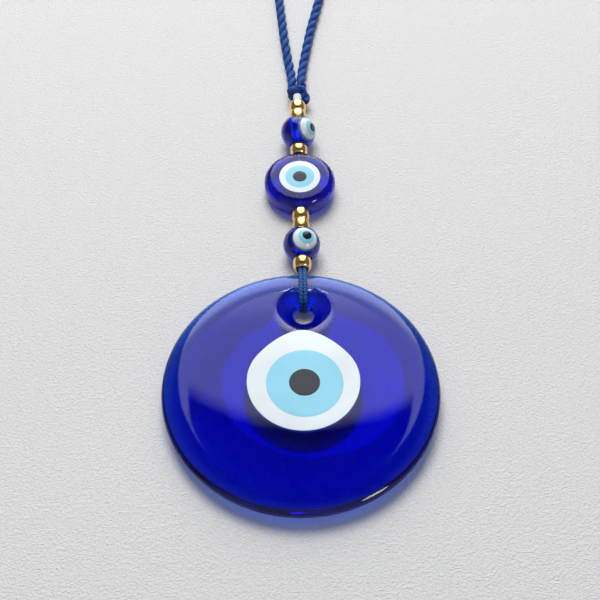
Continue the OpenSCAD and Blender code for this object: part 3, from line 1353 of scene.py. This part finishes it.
@dataclass
class BeadString:
    """The doubled braid inside the beads, in millimetres.

    Attributes:
        diameter: its thickness over the crests.
        step: the distance between two rounds of points.
        sides: the points round it.
        stitch: the length of a stitch.
        relief: how deep the valleys are.
        path: its places along, and their heights.
    """

    diameter: float = 2.1
    step: float = 0.2
    sides: int = 28
    stitch: float = 1.4
    relief: float = 0.1
    path: tuple[tuple[float, float], ...] = (
        (36.6, 5.004), (38.35, 5.004), (42.77, 5.1), (46.77, 5.1), (51.19, 4.668),
        (55.41, 4.06), (59.58, 3.5), (67.38, 3.5), (75.18, 3.5), (79.35, 4.3),
        (83.77, 5.1), (87.77, 5.1), (92.19, 4.55), (96.41, 4.0), (98.58, 4.0),
    )

    def section(self, run: np.ndarray, turn: np.ndarray) -> Shape:
        """A round section with crossing yarns.

        Args:
            run: the run at each point.
            turn: the angle at each point.

        Returns:
            The distances to the side and above, and the crests.
        """
        one = np.abs(np.sin(math.pi * run / self.stitch + 2 * turn))
        two = np.abs(np.sin(math.pi * run / self.stitch - 2 * turn))
        # The crests follow the crossing yarns, and the braid's finish paints shade
        # between them.
        crest = np.maximum(one, two)
        radius = self.diameter / 2 - self.relief * (1 - crest)
        return round_shape(radius, turn, crest)

    def build(self) -> None:
        """Braids the string."""
        tubes = Tubes()
        points = [[STRING_X, y, z] for y, z in self.path]
        tubes.add(Route(points, self.step, side=(1, 0, 0)), self.section, self.sides)
        dress(tubes.piece("inner_braid"), Finishes.BRAID, "string", "bead_string")


@dataclass
class Rope:
    """Two plump strands laid into a rope, in millimetres.

    Attributes:
        diameter: its thickness over the strands.
        lay: the length of one turn of the strands.
        strands: how many there are.
        strand_share: a strand's radius as a share of the diameter.
        wound_share: how far its middle runs from the rope's, as such a share.
        sides: the points round a strand.
        step: the distance between two rounds of points.
    """

    diameter: float = 2.6
    lay: float = 7.4
    strands: int = 2
    strand_share: float = 0.33
    wound_share: float = 0.17
    sides: int = 18
    step: float = 0.3

    def add(self, tubes: Tubes, route: Route, tight: float = 1.0) -> None:
        """Lays the strands along a route.

        Args:
            tubes: the tubes that they join.
            route: the rope's centreline.
            tight: the rope's thickness, as a factor.
        """
        strand_r = self.diameter * self.strand_share * tight
        wound = self.diameter * self.wound_share * tight
        for k in range(self.strands):
            turn = 2 * math.pi * (route.run / self.lay + k / self.strands)
            centre = route.beside(wound * np.cos(turn), wound * np.sin(turn))
            tubes.add(
                Route.through(centre),
                lambda run, turn: round_shape(strand_r, turn, np.ones(1)),
                self.sides,
                route,
            )


@dataclass
class HangingLoop(Rope):
    """The twisted hanging loop, closed as a teardrop, in millimetres.

    Attributes:
        fold: where it would start and end to bend, along from the knot's end. It is not
            used.
        fold_z: the height of a hinge there. It is not used.
        lie_z: the height of its middle where it lies on the ground.
        leg: the places of each strand where it comes down from the knot.
        bow: its places across and along from there.
    """

    diameter: float = 2.9
    step: float = 0.4
    fold: tuple[float, float] = (-1.0, 3.5)
    fold_z: float = 2.9
    lie_z: float = 1.46
    leg: tuple[Point, ...] = (
        (1.4, 0.3, 2.9), (1.4, 2.4, 2.6), (1.5, 4.8, 2.1), (1.7, 7, 1.7), (2, 9.5, 1.5),
    )
    bow: tuple[tuple[float, float], ...] = (
        (-2.5, 13.5), (-3.3, 21), (-3.8, 27), (-4.4, 35), (-5, 43), (-6, 52),
        (-7.4, 62), (-9.1, 72), (-10.6, 82), (-11.4, 91), (-10.6, 99), (-7.8, 105.3),
        (-3.2, 109.5), (2, 110.7), (7.2, 109.5), (11.8, 105.3), (14.6, 99), (15.4, 91),
        (15, 82), (13.9, 72), (12.2, 62), (10.2, 52), (8.5, 43), (6.8, 35), (5, 27),
        (3.9, 21), (2.6, 13.5),
    )

    def build(self) -> None:
        knot_end = Span.of("knot").high.y
        line = [(-x, y, z) for x, y, z in self.leg]
        line += [(x, y, self.lie_z) for x, y in self.bow]
        line += self.leg[::-1]
        points = [[STRING_X + x, knot_end + y, z] for x, y, z in line]
        route = Route(points, self.step)
        tubes = Tubes()
        self.add(tubes, route)
        loop = tubes.piece("twisted_loop")
        dress(loop, Finishes.ROPE, None, "hanging_loop")
        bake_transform(loop)


@dataclass
class Knot(Rope):
    """The knot of twisted cord over a white core, in millimetres.

    Attributes:
        wrap_r: how far the wrap's middle runs from its axis.
        wrap_z: the height of its axis.
        leg_tight: how tight the strands inside it are, as a factor of the thickness.
        wrap_tight: how tight the wrap is.
        wrap_rise: how far along it starts and ends from its middle.
        wrap_turn: its first angle, its last angle and its number of places.
        legs: the places of each strand inside the wrap, along from its middle.
        leg_ends: the places of each strand past it, along from the knot's end.
        tail: the places of the end that curls down.
        core_r: the core's radius.
        core_step: the distance between two rounds of its points.
        core_sides: the points round it.
        core_plies: the plies round it.
        core_twist: how fast they turn, as an angle a millimetre.
        core_end: the length of its rounded ends.
    """

    diameter: float = 2.8
    wrap_r: float = 1.95
    wrap_z: float = 3.4
    leg_tight: float = 0.97
    wrap_tight: float = 0.93
    wrap_rise: float = 0.55
    wrap_turn: tuple[float, float, int] = (-70, -350, 15)
    legs: tuple[Point, ...] = ((0.7, -0.6, 3.5), (1.0, 0.6, 3.3), (1.3, 1.8, 3.05))
    leg_ends: tuple[Point, ...] = ((1.4, -0.4, 2.9), (1.4, 0.6, 2.85))
    tail: tuple[Point, ...] = (
        (2.35, 101.6, 3.9), (2.55, 100.9, 3.45), (2.5, 100.2, 3.2), (2.35, 99.5, 3.1),
    )
    core_r: float = 1.22
    core_step: float = 0.1
    core_sides: int = 54
    core_plies: int = 9
    core_twist: float = 1.5
    core_end: float = 0.35

    def build(self) -> None:
        """Wraps the cord round the strands, and lets its end curl down."""
        whole, core = Span.of("knot"), Span.of("knot_core")
        collar = core.high.y + self.diameter / 2 - 0.1
        tubes = Tubes()
        for side in (-1, 1):
            points = [[x, collar + y, z] for x, y, z in self.legs]
            points += [[x, whole.high.y + y, z] for x, y, z in self.leg_ends]
            points = [[STRING_X + side * x, y, z] for x, y, z in points]
            self.add(tubes, Route(points, self.step), self.leg_tight)
        turns = np.radians(np.linspace(*self.wrap_turn))
        rises = np.linspace(self.wrap_rise, -self.wrap_rise, len(turns))
        wrap = [
            [
                STRING_X + self.wrap_r * math.cos(a),
                collar + rise,
                self.wrap_z + self.wrap_r * math.sin(a),
            ]
            for a, rise in zip(turns, rises)
        ]
        wrap += [[STRING_X + x, y, z] for x, y, z in self.tail]
        self.add(tubes, Route(wrap, self.step), self.wrap_tight)
        dress(tubes.piece("cord_knot"), Finishes.ROPE, "string", "knot")
        self.build_core(core)

    def build_core(self, core: Span) -> None:
        """Lays the white core that shows below the knot.

        Args:
            core: the box of its CAD node.
        """
        along = np.linspace(core.low.y, core.high.y, 6)
        at = [[STRING_X, y, core.middle.z] for y in along]

        def section(run: np.ndarray, turn: np.ndarray) -> Shape:
            """A round section of twisted plies, rounded off at both ends.

            Args:
                run: the run at each point.
                turn: the angle at each point.

            Returns:
                The distances to the side and above, and the crests.
            """
            ends = np.minimum(run, core.size.y - run)
            rounded = np.clip(ends / self.core_end, 0.3, 1) ** 0.5
            twist = np.cos(self.core_plies * turn + self.core_twist * run)
            radius = self.core_r * rounded * (1 + 0.02 * twist)
            # The crests follow the plies, and the core's finish paints shade between
            # them.
            return round_shape(radius, turn, 0.6 + 0.4 * twist)

        tubes = Tubes()
        tubes.add(Route(at, self.core_step), section, self.core_sides)
        dress(tubes.piece("white_core"), Finishes.CORE, "string", "knot_core")


# ---- the studio ----


@dataclass(frozen=True)
class Lamp:
    """A soft oval lamp that leans towards the ornament, in metres.

    Attributes:
        name: the lamp's name.
        at: where it stands.
        tilt: how far it leans back from facing straight down, in degrees.
        size: its width and height.
        power: its strength in watts.
        glossy: whether it shows in glossy surfaces and nowhere else, or the other way.
    """

    name: str
    at: Point
    tilt: float
    size: tuple[float, float]
    power: float
    glossy: bool = False

    def build(self) -> None:
        """Hangs the lamp."""
        data = bpy.data.lights.new(self.name, "AREA")
        data.shape, data.energy = "ELLIPSE", self.power
        data.size, data.size_y = self.size
        lamp = bpy.data.objects.new(self.name, data)
        lamp.location = self.at
        lamp.rotation_euler = (math.radians(-self.tilt), 0, 0)
        lamp.visible_glossy, lamp.visible_diffuse = self.glossy, not self.glossy
        bpy.context.scene.collection.objects.link(lamp)


@dataclass
class SoftCard:
    """A glowing oval card, which only gloss shows, in metres.

    Attributes:
        at: where it stands.
        tilt: how far it leans back from facing straight down, in degrees.
        half: its half width and half height.
        core: how far out its full glow reaches, as a share.
        level: its glow at the far side.
        rise: how much stronger it glows at the near side, as a factor.
        rise_over: where the rise starts and ends, as shares of its half height.
    """

    at: Point = (0.035, 0.785, 0.487)
    tilt: float = 45.0
    half: tuple[float, float] = (0.5, 0.615)
    core: float = 0.89
    level: float = 1.7
    rise: float = 2.3
    rise_over: tuple[float, float] = (-0.45, -0.1)

    def build(self) -> None:
        """Cuts the card and hangs it."""
        bpy.ops.object.select_all(action="DESELECT")
        bpy.ops.mesh.primitive_circle_add(
            vertices=64,
            radius=1,
            fill_type="NGON",
            location=self.at,
            rotation=(math.radians(-self.tilt), 0, 0),
        )
        card = bpy.context.object
        card.name = "soft_card"
        card.scale = (*self.half, 1)
        material, wiring, _ = new_material("soft_card")
        nodes = wiring.tree.nodes
        nodes.remove(nodes["Principled BSDF"])
        place = wiring.add("TexCoord", {}, "Object")
        out = wiring.add("VectorMath", {0: place}, "Value", operation="LENGTH")
        along = wiring.add("SeparateXYZ", {0: place}, "Y")
        fade = wiring.ease(out, 1.0, self.core, 0.0, self.level)
        rise = wiring.ease(along, *self.rise_over, 1.0, self.rise)
        glow = wiring.add("Emission", {"Strength": wiring.math("MULTIPLY", fade, rise)})
        wiring.feed(nodes["Material Output"].inputs["Surface"], glow)
        card.data.materials.append(material)
        for sight in ("camera", "diffuse", "transmission", "volume_scatter", "shadow"):
            setattr(card, "visible_" + sight, False)


@dataclass
class Surrounding:
    """The world, which gloss shows nearly dark above the disc and lighter around.

    Attributes:
        color: its colour.
        level: its strength for all but gloss.
        in_gloss: its strength in gloss, in the dark direction.
        around: its strength in gloss, away from there.
        behind: its strength in gloss, towards the camera's side.
        dark_way: the dark direction.
        dark_reach: the cosines to it at which the dark starts to end, and ends.
        behind_reach: the directions' Y at which the near side starts, and is full.
    """

    color: Point = (0.94, 0.97, 1.0)
    level: float = 0.3
    in_gloss: float = 0.04
    around: float = 0.14
    behind: float = 0.36
    dark_way: Point = (0.0, 0.36, 0.933)
    dark_reach: tuple[float, float] = (0.92, 0.8)
    behind_reach: tuple[float, float] = (-0.15, -0.55)

    def build(self) -> None:
        """Sets the world."""
        world = bpy.data.worlds.new("surrounding")
        world.use_nodes = True
        wiring = Wiring(world.node_tree)
        shade = wiring.tree.nodes["Background"].inputs
        wiring.feed(shade["Color"], self.color)
        way = wiring.add("TexCoord", {}, "Generated")
        near = wiring.add(
            "VectorMath", {0: way, 1: self.dark_way}, "Value", operation="DOT_PRODUCT"
        )
        around = wiring.ease(near, *self.dark_reach, self.in_gloss, self.around)
        along = wiring.add("SeparateXYZ", {0: way}, "Y")
        behind = wiring.ease(along, *self.behind_reach, 0.0, self.behind)
        gloss = wiring.add("LightPath", {}, "Is Glossy Ray")
        most = wiring.math("MAXIMUM", around, behind)
        inputs = {"Value": gloss, "To Min": self.level, "To Max": most}
        wiring.feed(shade["Strength"], wiring.add("MapRange", inputs))
        bpy.context.scene.world = world


@dataclass
class Studio:
    """Floor, lamps, world and camera, in metres."""

    LAMPS = (
        Lamp("softbox", (0.005, 0.785, 0.487), 45, (0.9, 1.17), 4.5),
        Lamp("key", (-0.1, 0.6, 1.1), 28, (0.8, 0.8), 12.3),
        Lamp("glint", (0.56, -0.47, 0.57), -40, (0.3, 0.24), 1.8, glossy=True),
    )

    floor_color: Point = (0.652, 0.648, 0.648)
    floor_contrast: float = 0.04
    floor_size: float = 3.0
    floor_z: float = -0.00005
    grain_scales: tuple[float, float] = (1350.0, 2600.0)
    grain_range: tuple[float, float] = (0.7, 1.3)
    grain_depth: float = 0.00036
    eye: Point = (-0.00372, -0.15284, 0.26468)
    look_at: Point = (0.00046, 0.02998, 0.0)
    lens: float = 72.0

    def floor(self) -> None:
        """Lays a wide sheet of pale suede."""
        bpy.ops.object.select_all(action="DESELECT")
        bpy.ops.mesh.primitive_plane_add(
            size=self.floor_size, location=(0, 0, self.floor_z)
        )
        floor = bpy.context.object
        floor.name = "suede_floor"
        material, wiring, skin = new_material("suede")
        wiring.feed(skin["Roughness"], 0.95)
        wiring.feed(skin["Specular IOR Level"], 0.1)
        place = wiring.add("TexCoord", {}, "Object")
        grains = [
            wiring.add("TexNoise", {"Vector": place, "Scale": scale, "Detail": 1.0})
            for scale in self.grain_scales
        ]
        height = wiring.math("ADD", *grains)
        wiring.feed(skin["Normal"], wiring.bump(height, 0.8, self.grain_depth))
        low, high = self.grain_range
        limits = {"Value": height, "From Min": low, "From Max": high}
        mask = wiring.add("MapRange", limits)
        deep, pale = (
            [part * (1 + self.floor_contrast * way) for part in self.floor_color]
            for way in (-1, 1)
        )
        wiring.feed(skin["Base Color"], wiring.tint(mask, deep, pale))
        floor.data.materials.append(material)

    def camera(self) -> None:
        """Sets the camera above and in front of the disc."""
        data = bpy.data.cameras.new("camera")
        data.lens = self.lens
        data.clip_start, data.clip_end = 0.01, 20
        camera = bpy.data.objects.new("camera", data)
        camera.location = self.eye
        to = Vector(self.look_at) - Vector(self.eye)
        camera.rotation_euler = to.to_track_quat("-Z", "Y").to_euler()
        bpy.context.scene.collection.objects.link(camera)
        bpy.context.scene.camera = camera

    def build(self) -> None:
        """Sets the studio up."""
        self.floor()
        SoftCard().build()
        for lamp in self.LAMPS:
            lamp.build()
        Surrounding().build()
        self.camera()
        bpy.context.scene.view_settings.view_transform = "Standard"


def main() -> None:
    """Builds the ornament and its studio."""
    logging.basicConfig(level=logging.INFO, format="%(name)s: %(message)s")
    studio = Studio()
    studio.build()
    HangingLoop().build()
    Knot().build()
    BeadString().build()
    Tie().build()
    EyeDisc().build()
    GiltBeads().build()
    RoundBead("lower_bead", ((13, 12), (15, 8), (17, 5))).build()
    RoundBead("upper_bead", ((48, 13), (53, 10), (57, 7))).build()
    CoinBead().build()


if __name__ == "__main__":
    main()
